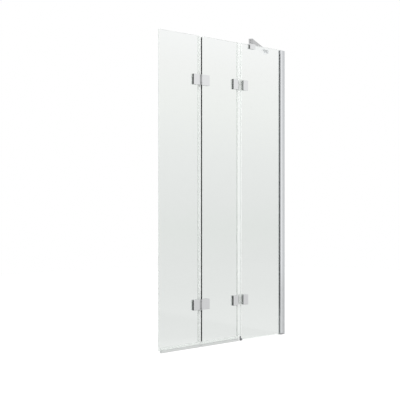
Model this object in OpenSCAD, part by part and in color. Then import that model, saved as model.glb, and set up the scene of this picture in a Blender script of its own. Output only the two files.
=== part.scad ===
// Folding bath screen: a fixed glass panel in a wall profile, a middle panel that folds inwards over the
// bath, an end panel that folds outwards, and a brace from the fixed panel to the wall.
// X runs along the bath with the wall at X = 0 and the screen on the negative side. Y = 0 is the middle of
// the glass and +Y is the bath side. Z = 0 is the bath rim.

/* [Screen] */
// Height from the bath rim to the top of the glass
screen_h = 1506; // [1300:2:1600]
// Distance from the wall to the axis of the inner fold
fixed_span = 314; // [305:1:450]
// Distance between the two fold axes
middle_span = 248; // [200:1:265]
// Distance from the axis of the outer fold to the free edge
end_span = 238; // [190:1:250]
// Thickness of the toughened glass
glass_t = 6; // [5:0.5:8]
// Bevel ground along the edges of the glass
glass_arris = 0.5; // [0.2:0.1:1]
// Gap between the rim and the glass of the two moving panels
moving_lift = 12; // [8:0.5:14]
// Gap between the rim and the fixed glass
fixed_lift = 6; // [4:0.5:8]

/* [Folds] */
// Distance from the outer fold's axis to the edge of the end glass
end_edge_gap = 1.5; // [1:0.1:3]
// Distance from the outer fold's axis to the edge of the middle glass
middle_edge_gap = 14.5; // [12:0.5:16]
// Distance from the inner fold's axis to the edge of the middle glass
inner_edge_gap = 4; // [3.5:0.1:7]
// Distance from the inner fold's axis to the edge of the fixed glass
fixed_edge_gap = 10; // [4:0.1:12]
// Gap between the faces of the folded leaves and the plane of the axis
fold_relief = 0.5; // [0.4:0.1:2]

/* [Hinges] */
// Height of a hinge
hinge_h = 51; // [46:1:70]
// Height of the middle part of the barrel
barrel_h = 32; // [24:1:34]
// Radius of the barrel
barrel_r = 5; // [4.6:0.1:5.6]
// Radius of the hinge pin
pin_r = 2.5; // [2:0.1:3]
// Thickness of the leaves and of the plates across the glass from them
leaf_t = 10; // [7:0.5:12]
// Distance from the axis to the near edge of a leaf
leaf_gap = 6; // [5.9:0.1:8]
// Distance from the axis to the far edge of the carried leaf
carried_reach = 44.5; // [42:0.5:60]
// Distance from the axis to the far edge of the carrying leaf
carrying_reach = 52.5; // [48:0.5:60]
// Width of the plates across the glass from the leaves
plate_w = 31; // [24:0.5:31]
// Thickness of the web that joins the barrel to its leaf
web_t = 4; // [3:0.5:6]
// Bevel around the leaves and plates
leaf_bevel = 0.8; // [0.3:0.1:1.5]
// Distance from the top of the glass to the middle of the upper hinges
hinge_top_inset = 213; // [100:1:400]
// Distance from the rim to the middle of the lower hinges
hinge_bottom_inset = 207; // [100:1:400]
// Wall of a bush
bush_wall = 0.95; // [0.8:0.05:1.2]
// Length of a bush inside the barrel
bush_l = 10; // [6:1:11]
// Thickness of a bush's flange
bush_flange_t = 0.8; // [0.5:0.1:1.5]

/* [Hinge screws] */
// Radius of a hinge screw's shank
screw_r = 2.5; // [2:0.1:3]
// Radius of a hinge screw's countersunk head
screw_head_r = 4.6; // [4.2:0.1:5]
// Height of the countersunk cone
screw_cone_h = 2.6; // [2:0.1:3]
// Width across the corners of the hexagon socket
screw_socket_w = 3.4; // [2:0.1:4]
// Depth of the hexagon socket
screw_socket_d = 2; // [1:0.1:2.4]
// Length of thread in the far plate
screw_thread_l = 6; // [4:0.5:6.5]
// Distance between the two screws of a plate
screw_pitch = 28; // [20:1:32]
// Radius of the hole in the glass
glass_hole_r = 6; // [5:0.5:7]
// Thickness of the gaskets between metal and glass
pad_t = 1; // [0.9:0.1:1.5]

/* [Seals] */
// Wall of the clear seal clips
clip_wall = 0.8; // [0.5:0.1:0.8]
// How far the clips of the fold seals reach over the glass
fold_clip_leg = 9; // [6:0.5:9]
// How far the clips of the bottom seals reach up the glass
bottom_clip_leg = 14; // [5:0.5:16]
// Thickness of the soft lips
lip_t = 0.8; // [0.5:0.1:1.2]
// Depth of the hollow bulb on the end panel's fold seal
bulb_d = 5.2; // [3:0.1:6]
// Thickness of the rigid web of the inner fold's clips
clip_web = 2; // [1:0.1:2.4]
// Width of the black gasket on the edge of the middle glass
gasket_w = 6; // [4:0.1:6.5]
// Distance from the top of the glass to the top of the fold seals
seal_top_inset = 5; // [2:0.5:20]
// Height of the bottom seals' lips above the rim
lip_clear = 0.6; // [0.4:0.1:2]
// How far each lip of a bottom seal leans out
lip_lean = 1.8; // [0.5:0.1:3]
// Distance from the free edge of the end glass to its bottom seal
seal_free_inset = 12; // [2:1:30]
// Length of the plug in the end of a bottom seal
seal_plug_l = 4; // [2:0.5:6]
// How far the corner stop's leg reaches over the fixed glass
stop_leg = 3; // [2:0.5:6]
// Height of the corner stop above the rim
stop_h = 22; // [15:0.5:26]
// How far the corner stop's foot reaches along the lower edge of the fixed glass
stop_foot = 11; // [8:0.5:20]
// Height of the corner stop's foot above the rim
stop_foot_h = 10; // [9:0.5:14]

/* [Wall profile] */
// Distance from the top of the glass down to the top of the wall profile
profile_drop = 2.5; // [0:0.5:20]
// Distance from the wall to the front edge of the glazing channel
profile_reach = 33; // [30:0.5:40]
// Distance from the wall to the back edge of the glazing channel's cheeks
cheek_back = 18; // [14:0.5:20]
// Depth of the wall channel
wall_channel_d = 24; // [22:0.5:28]
// Width of the wall channel
wall_channel_w = 17; // [16:0.5:24]
// Wall of the wall channel
wall_channel_t = 1.5; // [1.2:0.1:1.5]
// Wall of the glazing channel's cheeks
cheek_t = 1.4; // [1.2:0.1:2]
// Wall of the glazing channel's pocket
pocket_t = 1.2; // [1:0.1:1.4]
// Thickness of the glazing channel's front
front_t = 2; // [1.5:0.1:3]
// Distance from the wall to the back of the glazing channel's pocket
pocket_back = 12; // [10:0.5:13]
// Thickness of the packers between the pocket and the glass
packer_t = 1.8; // [1:0.1:3]
// Length of a packer
packer_l = 60; // [30:5:100]
// Distance from the profile's ends to the outer packers
packer_inset = 200; // [100:10:400]
// Length of the glazing gaskets' stems along X
gasket_stem_l = 6; // [4:0.5:8]
// How far the lip of a glazing gasket shows in front of the profile
gasket_show = 1; // [0.5:0.1:2]
// Thickness of the top cap
cap_t = 1.5; // [1:0.1:3]
// Length of the top cap's peg
cap_peg_l = 8; // [4:1:15]
// Radius of the holes for the wall screws
wall_hole_r = 2.5; // [2:0.1:3.5]
// Distance from the profile's ends to the outer wall holes
wall_hole_inset = 120; // [60:5:300]
// Number of wall holes, evenly spaced
wall_hole_count = 4; // [2:1:5]
// Radius of the adjusting screws
adjust_r = 1.7; // [1.2:0.1:2]
// Radius of the adjusting screws' heads
adjust_head_r = 3.2; // [2.6:0.1:4]
// Height of the adjusting screws' heads
adjust_head_h = 1.6; // [1:0.1:2.5]
// Length of the arms of the cross recess in an adjusting screw's head
recess_l = 3.2; // [2:0.1:4]
// Width of the arms of the cross recess
recess_w = 0.6; // [0.4:0.1:0.8]
// Depth of the cross recess
recess_d = 0.8; // [0.4:0.1:0.9]
// Distance from the profile's ends to the outer adjusting screws
adjust_inset = 180; // [100:5:300]

/* [Brace] */
// Distance from the wall to the middle of the clamp
clamp_x = 229; // [150:1:232]
// Width of the clamp along the glass
clamp_w = 38; // [30:1:40]
// Thickness of the clamp's jaws
jaw_t = 8.7; // [7:0.1:12]
// How far the clamp reaches down the glass
clamp_drop = 22; // [20:1:40]
// Thickness of the clamp over the glass
bridge_t = 3.4; // [3:0.1:8]
// Thickness of the clamp's pads
clamp_pad_t = 0.8; // [0.5:0.1:1.5]
// Thickness of the pressure plate
pressure_t = 2; // [1.5:0.1:3]
// Radius of the grub screws
grub_r = 2.5; // [2:0.1:3]
// Distance between the grub screws
grub_pitch = 18; // [12:1:24]
// Distance from the clamp's lower edge to the grub screws
grub_rise = 13; // [6:1:16]
// Radius of the swivel pin in the clamp
swivel_r = 4; // [3:0.1:5]
// Radius of the swivel pin's collar
swivel_collar_r = 8; // [6:0.1:9]
// Thickness of the swivel pin's collar
swivel_collar_t = 0.6; // [0.5:0.1:4]
// Width of the bar
bar_w = 20; // [18:0.5:24]
// Height of the bar
bar_h = 26; // [20:0.5:28]
// Wall of the bar
bar_wall = 1.5; // [1:0.1:2]
// Bevel along the bar
bar_bevel = 0.4; // [0.2:0.1:0.8]
// How far the bar runs past the swivel pin
bar_overhang = 12; // [9:0.5:20]
// Length of the plugs inside the bar
plug_l = 26; // [20:1:40]
// Thickness of the head plug's flange
plug_flange_t = 2; // [1:0.1:4]
// Radius of the two screws that lock the swivel
lock_r = 2.8; // [2:0.1:3.2]
// Distance between the two lock screws
lock_pitch = 10; // [9:0.5:11]
// Bevel around the mouths of the lock screws' holes
lock_bevel = 0.6; // [0.3:0.1:0.9]
// Distance from the middle of the glass to the middle of the wall bracket
bracket_y = 138; // [100:1:220]
// Distance from the wall to the bracket's pin
bracket_pin_x = 18; // [16:0.5:24]
// Distance from the bracket's pin to the bar
bar_end_gap = 16; // [12:0.5:24]
// Radius of the bracket's pin
bracket_pin_r = 3; // [2:0.1:4]
// Radius of the eye and of the bracket's nose
eye_r = 8; // [7:0.1:9]
// Thickness of the eye
eye_t = 8; // [5:0.5:9]
// Thickness of each cheek of the bracket
bracket_cheek_t = 4; // [3:0.5:5]
// Width of the bracket's plate
bracket_w = 44; // [42:1:60]
// Height of the bracket's plate
bracket_h = 28; // [24:1:40]
// Thickness of the bracket's plate
bracket_t = 5; // [4:0.5:6]
// Distance between the bracket's screw holes
bracket_hole_pitch = 30; // [26:1:30]
// Radius of the bracket's screw holes
bracket_hole_r = 2.5; // [2:0.1:3]
// Radius of the bracket's countersinks
bracket_sink_r = 4.6; // [4:0.1:5]

/* [Hidden] */

$fn = 48;
cut = 1;                 // how far a cutting shape runs past the face it cuts
running_gap = 0.05;      // radial clearance of a pin that turns
held_gap = 0.02;         // radial clearance of a pin or screw that is held
slide_gap = 0.1;         // clearance between pieces that slide or seat
body_gap = 0.3;          // clearance between pieces that move past each other
screw_gap = 0.2;         // radial clearance of a screw that passes through
edge_gap = 0.5;          // how far gaskets and pads stay inside the metal they back

chrome = [0.80, 0.81, 0.82];
alloy = [0.74, 0.75, 0.76];
clear_glass = [0.84, 0.90, 0.87, 0.45];
milky = [0.90, 0.92, 0.91, 0.8];
black = [0.10, 0.10, 0.11];
grey = [0.72, 0.73, 0.73];

glass_half = glass_t / 2;
outer_fold_x = -(fixed_span + middle_span);
inner_fold_x = -fixed_span;
free_edge_x = outer_fold_x - end_span;

// a fold is its place along X and whether its hinges are mirrored to the bath side
outer_fold = [outer_fold_x, 0];
inner_fold = [inner_fold_x, 1];
upper = screen_h - hinge_top_inset;
lower = hinge_bottom_inset;
levels = [lower, upper];

leaf_inner = glass_half + pad_t;
leaf_face = leaf_inner + leaf_t;
axis_y = leaf_face + fold_relief;
bush_r = pin_r + running_gap + bush_wall;
ear_start = barrel_h / 2 + bush_flange_t + body_gap;
carried_screw_x = -(carried_reach - plate_w / 2);
carrying_screw_x = carrying_reach - plate_w / 2;
screw_rows = [-screw_pitch / 2, screw_pitch / 2];
screw_hole_r = screw_r + screw_gap;
head_slope = (screw_head_r - screw_r) / screw_cone_h;

pocket_half = wall_channel_w / 2 - wall_channel_t - slide_gap - pocket_t;
cavity_half = wall_channel_w / 2 + slide_gap;
profile_half = cavity_half + cheek_t;
profile_top = screen_h - profile_drop;
channel_h = profile_top - cap_t;
pocket_floor = pocket_back + pocket_t;
fixed_glass_right = -(pocket_floor + packer_t);
adjust_x = -(cheek_back + wall_channel_d) / 2;

clamp_front = glass_half + clamp_pad_t + jaw_t;
clamp_slot_back = glass_half + clamp_pad_t + pressure_t + slide_gap;
bridge_base = screen_h + edge_gap;
bridge_top = bridge_base + bridge_t;
bar_base = bridge_top + swivel_collar_t + slide_gap;
bar_mid = bar_base + bar_h / 2;
brace_run = [clamp_x - bracket_pin_x, bracket_y];
brace_l = norm(brace_run);
brace_turn = atan2(brace_run.y, brace_run.x);
fork_half = eye_t / 2 + body_gap;

// ---- shared shapes ----

module bevel_rect(w, h, bevel) {
  polygon([[bevel, 0], [w - bevel, 0], [w, bevel], [w, h - bevel],
    [w - bevel, h], [bevel, h], [0, h - bevel], [0, bevel]]);
}

// a block between two corners with all its edges bevelled
module bevel_block(low, high, bevel) {
  size = high - low;
  translate(low) intersection() {
    linear_extrude(size.z) bevel_rect(size.x, size.y, bevel);
    translate([0, size.y, 0]) rotate([90, 0, 0]) linear_extrude(size.y) bevel_rect(size.x, size.z, bevel);
    rotate([90, 0, 90]) linear_extrude(size.x) bevel_rect(size.y, size.z, bevel);
  }
}

module block(low, high) {
  translate(low) cube(high - low);
}

// a round bar along Y from y1 to y2
module rod_y(r, y1, y2) {
  translate([0, y1, 0]) rotate([-90, 0, 0]) cylinder(r = r, h = y2 - y1);
}

// an outline in X and Y carried up from z1 to z2
module rise(z1, z2) {
  translate([0, 0, z1]) linear_extrude(z2 - z1) children();
}

// an outline in Y and Z carried along X from x1 to x2
module run_x(x1, x2) {
  translate([x1, 0, 0]) rotate([90, 0, 90]) linear_extrude(x2 - x1) children();
}

module span(low, high) {
  translate(low) square(high - low);
}

// ---- glass ----

module hinge_holes(x) {
  for (z = levels, row = screw_rows) translate([x, 0, z + row]) rod_y(glass_hole_r, -glass_t, glass_t);
}

module glass_pane(x1, x2, base) {
  bevel_block([x1, -glass_half, base], [x2, glass_half, screen_h], glass_arris);
}

module fixed_glass() color(clear_glass) difference() {
  glass_pane(inner_fold_x + fixed_edge_gap, fixed_glass_right, fixed_lift);
  hinge_holes(inner_fold_x + carrying_screw_x);
}

module middle_glass() color(clear_glass) difference() {
  glass_pane(outer_fold_x + middle_edge_gap, inner_fold_x - inner_edge_gap, moving_lift);
  hinge_holes(outer_fold_x + carrying_screw_x);
  hinge_holes(inner_fold_x + carried_screw_x);
}

module end_glass() color(clear_glass) difference() {
  glass_pane(free_edge_x, outer_fold_x - end_edge_gap, moving_lift);
  hinge_holes(outer_fold_x + carried_screw_x);
}

// ---- hinges ----
// A hinge is drawn around its own middle with the axis at X = 0, the carried side at negative X and the
// barrel at negative Y. The inner fold's hinges are mirrored to the bath side.

module at_hinge(fold, z) {
  translate([fold.x, 0, z]) mirror([0, fold.y, 0]) children();
}

// the countersunk cone that ends flush with a leaf, made wider by gap and carried on past it by extra
module screw_cone(gap, extra) {
  translate([0, leaf_face - screw_cone_h, 0]) rotate([-90, 0, 0])
    cylinder(r1 = screw_r + gap, r2 = screw_head_r + gap + extra * head_slope, h = screw_cone_h + extra);
}

// holes in a plate whose screws pass through, with the countersinks outside
module screw_passage(x) {
  for (row = screw_rows) translate([x, 0, row]) {
    rod_y(screw_hole_r, 0, leaf_face + cut);
    screw_cone(slide_gap, edge_gap);
  }
}

// blind threaded holes in a plate that takes the screws' tips
module screw_thread(x) {
  for (row = screw_rows) translate([x, 0, row])
    rod_y(screw_r + held_gap, 0, leaf_inner + screw_thread_l + edge_gap);
}

module hinge_screw() {
  difference() {
    union() {
      rod_y(screw_r, -leaf_inner - screw_thread_l, leaf_face - screw_cone_h);
      screw_cone(0, 0);
    }
    translate([0, leaf_face - screw_socket_d, 0]) rotate([-90, 0, 0])
      cylinder(d = screw_socket_w, h = screw_socket_d + cut, $fn = 6);
  }
}

// screws put in from the bath side, which is the leaf's side on a mirrored hinge
module hinge_screw_pair(fold, z, x) {
  at_hinge(fold, z) for (row = screw_rows)
    translate([x, 0, row]) mirror([0, fold.y, 0]) hinge_screw();
}

module leaf_holes(fold, x) {
  mirror([0, 1, 0]) {
    if (fold.y == 1) screw_passage(x);
    else screw_thread(x);
  }
}

module plate_holes(fold, x) {
  if (fold.y == 1) screw_thread(x);
  else screw_passage(x);
}

// an outline of the barrel and of the web that joins it to a leaf on the given side
module knuckle_outline(side) {
  translate([0, -axis_y]) circle(r = barrel_r);
  far = side * (leaf_gap + cut);
  span([min(0, far), -leaf_face], [max(0, far), -leaf_face + web_t]);
}

module carrying_leaf(fold, z) color(chrome) at_hinge(fold, z) difference() {
  union() {
    bevel_block([leaf_gap, -leaf_face, -hinge_h / 2],
      [carrying_reach, -leaf_inner, hinge_h / 2], leaf_bevel);
    rise(ear_start, hinge_h / 2) knuckle_outline(1);
    rise(-hinge_h / 2, -ear_start) knuckle_outline(1);
  }
  translate([0, -axis_y, -hinge_h]) cylinder(r = pin_r + held_gap, h = 2 * hinge_h);
  leaf_holes(fold, carrying_screw_x);
}

module carried_leaf(fold, z) color(chrome) at_hinge(fold, z) difference() {
  union() {
    bevel_block([-carried_reach, -leaf_face, -hinge_h / 2],
      [-leaf_gap, -leaf_inner, hinge_h / 2], leaf_bevel);
    rise(-barrel_h / 2, barrel_h / 2) knuckle_outline(-1);
  }
  translate([0, -axis_y, -hinge_h]) cylinder(r = bush_r, h = 2 * hinge_h);
  leaf_holes(fold, carried_screw_x);
}

module carrying_plate(fold, z) color(chrome) at_hinge(fold, z) difference() {
  bevel_block([carrying_reach - plate_w, leaf_inner, -hinge_h / 2],
    [carrying_reach, leaf_face, hinge_h / 2], leaf_bevel);
  plate_holes(fold, carrying_screw_x);
}

module carried_plate(fold, z) color(chrome) at_hinge(fold, z) difference() {
  bevel_block([-carried_reach, leaf_inner, -hinge_h / 2],
    [plate_w - carried_reach, leaf_face, hinge_h / 2], leaf_bevel);
  plate_holes(fold, carried_screw_x);
}

module hinge_pin(fold, z) color(chrome) at_hinge(fold, z)
  translate([0, -axis_y, edge_gap - hinge_h / 2]) cylinder(r = pin_r, h = hinge_h - 2 * edge_gap);

// two flanged bushes, one in each end of the barrel
module bush_pair(fold, z) at_hinge(fold, z) for (end = [0, 1]) mirror([0, 0, end])
  translate([0, -axis_y, barrel_h / 2 - bush_l]) difference() {
    union() {
      cylinder(r = bush_r, h = bush_l);
      translate([0, 0, bush_l]) cylinder(r = barrel_r - edge_gap, h = bush_flange_t);
    }
    translate([0, 0, -cut]) cylinder(r = pin_r + running_gap, h = bush_l + bush_flange_t + 2 * cut);
  }

module inner_bushes() color(black) for (z = levels) bush_pair(inner_fold, z);
module outer_bushes() color(black) for (z = levels) bush_pair(outer_fold, z);

// a gasket on the +Y face of the glass, with collars that line the holes in the glass
module glass_pad(x1, x2, hole_x) {
  difference() {
    union() {
      block([x1, glass_half, edge_gap - hinge_h / 2], [x2, leaf_inner, hinge_h / 2 - edge_gap]);
      for (row = screw_rows) translate([hole_x, 0, row])
        rod_y(glass_hole_r - slide_gap, slide_gap / 2, glass_half);
    }
    for (row = screw_rows) translate([hole_x, 0, row]) rod_y(screw_hole_r, -cut, leaf_inner + cut);
  }
}

module carrying_pads(fold, z, glass_edge) at_hinge(fold, z) {
  mirror([0, 1, 0])
    glass_pad(glass_edge + fold_clip_leg + edge_gap, carrying_reach - edge_gap, carrying_screw_x);
  glass_pad(carrying_reach - plate_w + edge_gap, carrying_reach - edge_gap, carrying_screw_x);
}

module carried_pads(fold, z, glass_edge) at_hinge(fold, z) {
  mirror([0, 1, 0])
    glass_pad(edge_gap - carried_reach, -(glass_edge + fold_clip_leg + edge_gap), carried_screw_x);
  glass_pad(edge_gap - carried_reach, plate_w - carried_reach - edge_gap, carried_screw_x);
}

module fixed_hinge_pads() color(grey) for (z = levels) carrying_pads(inner_fold, z, fixed_edge_gap);

module middle_hinge_pads() color(grey) for (z = levels) {
  carried_pads(inner_fold, z, inner_edge_gap);
  carrying_pads(outer_fold, z, middle_edge_gap - fold_clip_leg);
}

module end_hinge_pads() color(grey) for (z = levels) carried_pads(outer_fold, z, end_edge_gap);

module fixed_hinge_screws() color(chrome) for (z = levels) hinge_screw_pair(inner_fold, z, carrying_screw_x);

module middle_hinge_screws() color(chrome) for (z = levels) {
  hinge_screw_pair(inner_fold, z, carried_screw_x);
  hinge_screw_pair(outer_fold, z, carrying_screw_x);
}

module end_hinge_screws() color(chrome) for (z = levels) hinge_screw_pair(outer_fold, z, carried_screw_x);

// ---- fold seals ----

clip_half = glass_half + clip_wall;
clip_top = moving_lift + bottom_clip_leg;
seal_base = max(clip_top, stop_h) + edge_gap;
seal_top = screen_h - seal_top_inset;

// the outline of a clip that grips a glass edge at X = 0 from the positive side, with a web of thickness web
module clip_outline(leg, web) {
  difference() {
    span([-leg, -clip_half], [web, clip_half]);
    span([-leg - cut, -glass_half], [0, glass_half]);
  }
}

module end_fold_seal() color(milky) translate([outer_fold_x - end_edge_gap, 0]) rise(seal_base, seal_top) {
  difference() {
    clip_outline(fold_clip_leg, bulb_d);
    span([clip_wall, clip_wall - glass_half], [bulb_d - clip_wall, glass_half - clip_wall]);
  }
  lip_end = end_edge_gap + middle_edge_gap - gasket_w - body_gap;
  span([bulb_d - clip_wall, -glass_half - lip_t / 2], [lip_end, -glass_half + lip_t / 2]);
}

module middle_fold_seal() color(milky) translate([inner_fold_x - inner_edge_gap, 0])
  rise(seal_base, seal_top) clip_outline(fold_clip_leg, clip_web);

module fixed_fold_seal() color(milky) translate([inner_fold_x + fixed_edge_gap, 0])
  rise(seal_base, seal_top) {
    mirror([1, 0]) clip_outline(fold_clip_leg, clip_web);
    lip_end = inner_edge_gap + fixed_edge_gap - clip_web - body_gap;
    span([-lip_end, -clip_half], [-clip_web, -clip_half + lip_t]);
  }

module middle_edge_gasket() color(black) translate([outer_fold_x + middle_edge_gap, 0])
  rise(seal_base, seal_top) difference() {
    span([-gasket_w, -glass_half], [0, glass_half]);
    span([lip_t - gasket_w, lip_t - glass_half], [-lip_t, glass_half - lip_t]);
  }

// ---- bottom seals ----

// the outline in Y and Z of a clip on the bottom edge of a moving pane, with two lips that lean outwards
module bottom_seal_outline() {
  web_base = moving_lift - clip_wall;
  polygon([[clip_half + lip_lean, lip_clear], [clip_half, web_base], [clip_half, clip_top],
    [glass_half, clip_top], [glass_half, moving_lift], [-glass_half, moving_lift], [-glass_half, clip_top],
    [-clip_half, clip_top], [-clip_half, web_base], [-clip_half - lip_lean, lip_clear],
    [lip_t - clip_half - lip_lean, lip_clear], [lip_t - clip_half, web_base],
    [clip_half - lip_t, web_base], [clip_half + lip_lean - lip_t, lip_clear]]);
}

// the plug fills the space between the lips
module seal_plug_outline() {
  polygon([[-clip_half + lip_t + slide_gap, moving_lift - clip_wall - slide_gap],
    [clip_half - lip_t - slide_gap, moving_lift - clip_wall - slide_gap],
    [clip_half + lip_lean - lip_t - slide_gap, lip_clear],
    [-clip_half - lip_lean + lip_t + slide_gap, lip_clear]]);
}

end_seal_left = free_edge_x + seal_free_inset;
end_seal_right = outer_fold_x - end_edge_gap + bulb_d;
middle_seal_left = outer_fold_x + middle_edge_gap - gasket_w;
middle_seal_right = inner_fold_x - inner_edge_gap + clip_web;

module end_bottom_seal() color(grey) run_x(end_seal_left, end_seal_right) bottom_seal_outline();
module middle_bottom_seal() color(grey) run_x(middle_seal_left, middle_seal_right) bottom_seal_outline();
module end_seal_plug() color(grey) run_x(end_seal_left, end_seal_left + seal_plug_l) seal_plug_outline();
module middle_seal_plug() color(grey)
  run_x(middle_seal_right - seal_plug_l, middle_seal_right) seal_plug_outline();

stop_glass = inner_fold_x + fixed_edge_gap;

module fixed_bottom_seal() color(milky)
  run_x(stop_glass + stop_foot, -profile_reach - gasket_show - slide_gap) {
    span([-glass_half + glass_arris, 0], [glass_half - glass_arris, fixed_lift]);
    span([-clip_half, 0], [clip_half, lip_t]);
  }

// a soft stop around the lower corner of the fixed glass: a leg up its edge and a foot along its lower edge
module fixed_corner_stop() color(black) difference() {
  union() {
    block([stop_glass - lip_t, -clip_half, 0], [stop_glass + stop_leg, clip_half, stop_h]);
    block([stop_glass - lip_t, -clip_half, 0], [stop_glass + stop_foot, clip_half, stop_foot_h]);
  }
  block([stop_glass, -glass_half, fixed_lift], [stop_glass + stop_foot + cut, glass_half, stop_h + cut]);
}

// ---- wall profile ----

wall_hole_pitch = (profile_top - 2 * wall_hole_inset) / (wall_hole_count - 1);
wall_hole_rows = [for (i = [0:wall_hole_count - 1]) wall_hole_inset + i * wall_hole_pitch];
adjust_rows = [adjust_inset, profile_top / 2, profile_top - adjust_inset];

module wall_channel() color(alloy) difference() {
  rise(0, channel_h) difference() {
    span([-wall_channel_d, -wall_channel_w / 2], [0, wall_channel_w / 2]);
    span([-wall_channel_d - cut, wall_channel_t - wall_channel_w / 2],
      [-wall_channel_t, wall_channel_w / 2 - wall_channel_t]);
  }
  for (z = wall_hole_rows) translate([-wall_channel_t - cut, 0, z]) rotate([0, 90, 0])
    cylinder(r = wall_hole_r, h = wall_channel_t + 2 * cut);
  for (z = adjust_rows) translate([adjust_x, 0, z]) rod_y(adjust_r + held_gap, 0, profile_half);
}

module glazing_channel() color(chrome) difference() {
  rise(0, channel_h) difference() {
    union() {
      span([-profile_reach, -profile_half], [-cheek_back, profile_half]);
      span([-profile_reach, -pocket_half - pocket_t], [-pocket_back, pocket_half + pocket_t]);
    }
    span([-profile_reach - cut, -pocket_half], [-pocket_floor, pocket_half]);
    for (side = [0, 1]) mirror([0, side])
      span([front_t - profile_reach, pocket_half + pocket_t], [cut - cheek_back, cavity_half]);
  }
  for (z = adjust_rows) translate([adjust_x, 0, z]) rod_y(adjust_r + held_gap, 0, profile_half + cut);
}

module adjusting_screws() color(chrome) for (z = adjust_rows)
  translate([adjust_x, profile_half, z]) difference() {
    union() {
      rod_y(adjust_r, pocket_half - profile_half, 0);
      rod_y(adjust_head_r, 0, adjust_head_h);
    }
    for (turn = [0, 90]) rotate([0, turn, 0])
      block([-recess_l / 2, adjust_head_h - recess_d, -recess_w / 2],
        [recess_l / 2, adjust_head_h + cut, recess_w / 2]);
  }

module channel_cap() color(chrome) {
  rise(channel_h, profile_top) difference() {
    union() {
      span([-profile_reach, -profile_half], [-cheek_back, profile_half]);
      span([-cheek_back, -wall_channel_w / 2], [0, wall_channel_w / 2]);
    }
    span([-profile_reach - cut, -glass_half - slide_gap],
      [fixed_glass_right + slide_gap, glass_half + slide_gap]);
  }
  peg_half = wall_channel_w / 2 - wall_channel_t - slide_gap;
  rise(channel_h - cap_peg_l, channel_h)
    span([slide_gap - pocket_back, -peg_half], [-wall_channel_t - slide_gap, peg_half]);
}

// a wedge on the +Y side of the pocket, with a lip over the front edge
module glazing_gasket() {
  rise(0, channel_h) polygon([[-profile_reach - gasket_show, glass_half],
    [front_t + gasket_stem_l - profile_reach, glass_half],
    [front_t + gasket_stem_l - profile_reach, pocket_half - slide_gap],
    [edge_gap - profile_reach, pocket_half - slide_gap],
    [-profile_reach - gasket_show, glass_half + lip_t]]);
}

module inner_glazing_gasket() color(milky) glazing_gasket();
module outer_glazing_gasket() color(milky) mirror([0, 1, 0]) glazing_gasket();

module glass_packers() color(grey) for (z = [packer_inset, profile_top / 2, profile_top - packer_inset])
  block([fixed_glass_right, -glass_half, z - packer_l / 2], [-pocket_floor, glass_half, z + packer_l / 2]);

// ---- brace ----

clamp_base = screen_h - clamp_drop;
grub_z = clamp_base + grub_rise;

module brace_clamp() color(chrome) translate([-clamp_x, 0]) difference() {
  bevel_block([-clamp_w / 2, -clamp_front, clamp_base],
    [clamp_w / 2, clamp_slot_back + jaw_t, bridge_top], leaf_bevel);
  block([-clamp_w, -glass_half - clamp_pad_t, clamp_base - cut], [clamp_w, clamp_slot_back, bridge_base]);
  for (side = [-1, 1]) translate([side * grub_pitch / 2, 0, grub_z])
    rod_y(grub_r + held_gap, 0, clamp_slot_back + jaw_t + cut);
  translate([0, 0, bridge_base - cut]) cylinder(r = swivel_r + held_gap, h = bridge_t + 2 * cut);
}

module brace_clamp_pads() color(grey) translate([-clamp_x, 0]) for (side = [0, 1]) mirror([0, side, 0])
  block([edge_gap - clamp_w / 2, glass_half, clamp_base + edge_gap],
    [clamp_w / 2 - edge_gap, glass_half + clamp_pad_t, screen_h - edge_gap]);

module brace_pressure_plate() color(alloy) translate([-clamp_x, 0])
  block([edge_gap - clamp_w / 2, glass_half + clamp_pad_t, clamp_base + edge_gap],
    [clamp_w / 2 - edge_gap, glass_half + clamp_pad_t + pressure_t, screen_h - edge_gap]);

module brace_grub_screws() color(chrome) for (side = [-1, 1])
  translate([side * grub_pitch / 2 - clamp_x, 0, grub_z]) difference() {
    rod_y(grub_r, glass_half + clamp_pad_t + pressure_t, clamp_slot_back + jaw_t - edge_gap);
    translate([0, clamp_slot_back + jaw_t - edge_gap - screw_socket_d, 0]) rotate([-90, 0, 0])
      cylinder(d = screw_socket_w - edge_gap, h = screw_socket_d + cut, $fn = 6);
  }

swivel_top = bar_base + bar_h - bar_wall - edge_gap;

module brace_swivel_pin() color(chrome) translate([-clamp_x, 0, 0]) {
  translate([0, 0, bridge_base]) cylinder(r = swivel_r, h = swivel_top - bridge_base);
  translate([0, 0, bridge_top]) cylinder(r = swivel_collar_r, h = swivel_collar_t);
}

// the bar lies along its own X from the swivel pin towards the bracket's pin
module along_brace() {
  translate([-clamp_x, 0, bar_mid]) rotate(brace_turn) children();
}

bar_start = plug_flange_t - bar_overhang;
bar_stop = brace_l - bar_end_gap;
plug_w = bar_w - 2 * (bar_wall + slide_gap);
plug_h = bar_h - 2 * (bar_wall + slide_gap);

module brace_bar() color(chrome) along_brace() difference() {
  bevel_block([bar_start, -bar_w / 2, -bar_h / 2], [bar_stop, bar_w / 2, bar_h / 2], bar_bevel);
  block([bar_start - cut, bar_wall - bar_w / 2, bar_wall - bar_h / 2],
    [bar_stop + cut, bar_w / 2 - bar_wall, bar_h / 2 - bar_wall]);
  translate([0, 0, -bar_h / 2 - cut]) cylinder(r = swivel_r + body_gap, h = bar_wall + 2 * cut);
}

// the places of the two lock screws, along the bar's own X
module at_locks() {
  for (side = [-1, 1]) translate([0, 0, side * lock_pitch / 2]) rotate([0, 90, 0]) children();
}

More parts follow.
